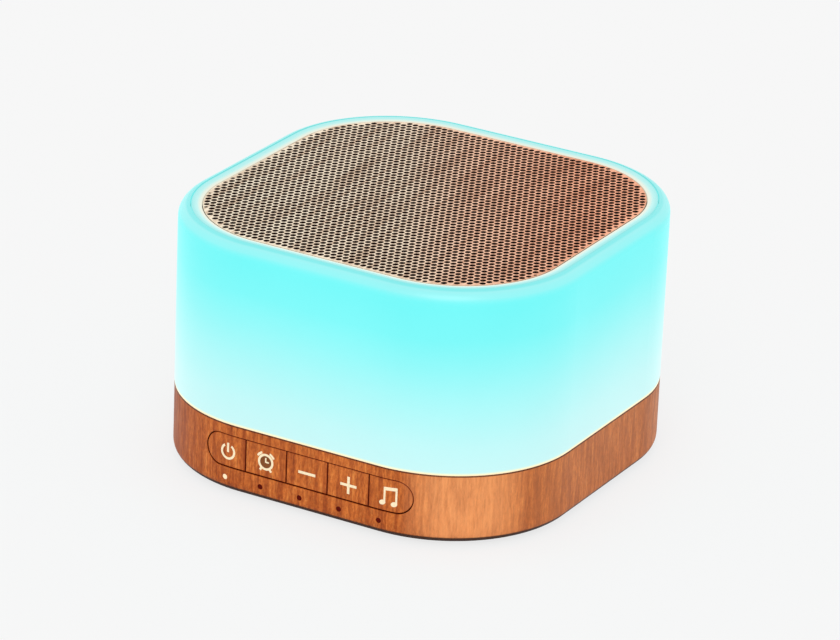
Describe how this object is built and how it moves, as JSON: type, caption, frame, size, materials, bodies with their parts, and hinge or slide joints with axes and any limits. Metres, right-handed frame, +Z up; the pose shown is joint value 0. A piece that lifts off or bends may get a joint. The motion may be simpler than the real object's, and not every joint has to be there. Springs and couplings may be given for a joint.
{
  "type": "white noise sound machine",
  "caption": "Rounded-square bedside sound machine: wood-look base with push buttons and lights, glowing translucent shade, perforated speaker grille on top.",
  "frame": {"origin": "centre of the four feet's undersides, on the surface the object stands on", "axes": "+Z up through the grille, -Y to the front with the buttons, +X to the right seen from the front"},
  "size_m": [0.1, 0.1, 0.062],
  "materials": {
    "foot_rubber": "matt moulded rubber",
    "base_plastic": "fine texture, red-brown",
    "screw_steel": "zinc plated",
    "wood_print": "satin film with a straight wood grain",
    "white_plastic": "satin white moulding",
    "dark_plastic": "matt black moulding",
    "switch_plastic": "satin black",
    "plunger_plastic": "satin",
    "circuit_board": "satin solder mask",
    "indicator_led": "clear epoxy",
    "lit_pipe": "clear, lit cream white",
    "dark_pipe": "clear, unlit, dark red-brown",
    "chip_black": "matt epoxy",
    "capacitor_can": "sleeved can",
    "connector_plastic": "natural nylon",
    "ribbon_film": "satin film",
    "socket_metal": "bright nickel",
    "tongue_plastic": "satin black",
    "cell_wrap": "foil pouch",
    "foam_pad": "closed-cell foam",
    "black_foam": "closed-cell foam",
    "lead_red": "satin insulation",
    "lead_black": "satin insulation",
    "lead_grey": "satin insulation",
    "light_board": "white solder mask",
    "colour_led": "white body under a clear lens, lit cyan",
    "glowing_shade": "satin translucent, lit cyan from inside",
    "milky_trim": "satin translucent, lit",
    "acoustic_cloth": "fine open weave",
    "grille_print": "satin film with a straight wood grain",
    "surround_rubber": "matt rubber",
    "basket_steel": "black coating",
    "cone_paper": "pressed paper",
    "coil_copper": "paper tube with enamelled wire",
    "spider_cloth": "varnished cloth",
    "plate_steel": "plated",
    "magnet_ferrite": "matt ferrite",
    "terminal_board": "paper laminate"
  },
  "bodies": {
    "root": {"rubber_feet": "foot_rubber", "bottom_cover": "base_plastic", "cover_screws": "screw_steel", "base_housing": "wood_print", "deck_plate": "white_plastic", "button_guide": "dark_plastic", "tact_switches": "switch_plastic", "key_board": "circuit_board", "key_board_screws": "screw_steel", "indicator_leds": "indicator_led", "power_light_pipe": "lit_pipe", "timer_light_pipes": "dark_pipe", "main_board": "circuit_board", "main_board_screws": "screw_steel", "board_chips": "chip_black", "board_inductor": "chip_black", "filter_capacitors": "capacitor_can", "board_connectors": "connector_plastic", "key_ribbon": "ribbon_film", "usb_socket": "socket_metal", "usb_tongue": "tongue_plastic", "battery_cell": "cell_wrap", "battery_pad": "foam_pad", "battery_leads": "lead_red", "speaker_leads": "lead_black", "led_board_lead": "lead_grey", "led_board": "light_board", "rgb_leds": "colour_led", "led_board_screws": "screw_steel", "speaker_pod": "white_plastic", "pod_gasket": "black_foam", "pod_grommet": "foot_rubber", "baffle_frame": "dark_plastic", "deck_screws": "screw_steel", "shade": "glowing_shade", "trim_ring": "milky_trim", "acoustic_cloth": "acoustic_cloth", "grille": "grille_print", "speaker_gasket": "black_foam", "speaker_surround": "surround_rubber", "speaker_basket": "basket_steel", "speaker_spider": "spider_cloth", "top_plate": "plate_steel", "magnet": "magnet_ferrite", "yoke": "plate_steel", "speaker_terminals": "terminal_board", "speaker_screws": "screw_steel"},
    "power_key": {"power_button": "wood_print", "power_plunger": "plunger_plastic"},
    "timer_key": {"timer_button": "wood_print", "timer_plunger": "plunger_plastic"},
    "volume_down_key": {"volume_down_button": "wood_print", "volume_down_plunger": "plunger_plastic"},
    "volume_up_key": {"volume_up_button": "wood_print", "volume_up_plunger": "plunger_plastic"},
    "sound_key": {"sound_button": "wood_print", "sound_plunger": "plunger_plastic"},
    "cone_assembly": {"speaker_cone": "cone_paper", "dust_cap": "cone_paper", "voice_coil": "coil_copper"}
  },
  "joints": [
    {"name": "power_press", "type": "slide", "parent": "root", "child": "power_key", "axis": [0, 1, 0], "range_m": [0, 0.0005], "stiffness_N_per_m": 3000},
    {"name": "timer_press", "type": "slide", "parent": "root", "child": "timer_key", "axis": [0, 1, 0], "range_m": [0, 0.0005], "stiffness_N_per_m": 3000},
    {"name": "volume_down_press", "type": "slide", "parent": "root", "child": "volume_down_key", "axis": [0, 1, 0], "range_m": [0, 0.0005], "stiffness_N_per_m": 3000},
    {"name": "volume_up_press", "type": "slide", "parent": "root", "child": "volume_up_key", "axis": [0, 1, 0], "range_m": [0, 0.0005], "stiffness_N_per_m": 3000},
    {"name": "sound_press", "type": "slide", "parent": "root", "child": "sound_key", "axis": [0, 1, 0], "range_m": [0, 0.0005], "stiffness_N_per_m": 3000},
    {"name": "cone_excursion", "type": "slide", "parent": "root", "child": "cone_assembly", "axis": [0, 0, 1], "range_m": [-0.001, 0.001], "stiffness_N_per_m": 2000, "deforming": ["speaker_surround", "speaker_spider"]}
  ]
}
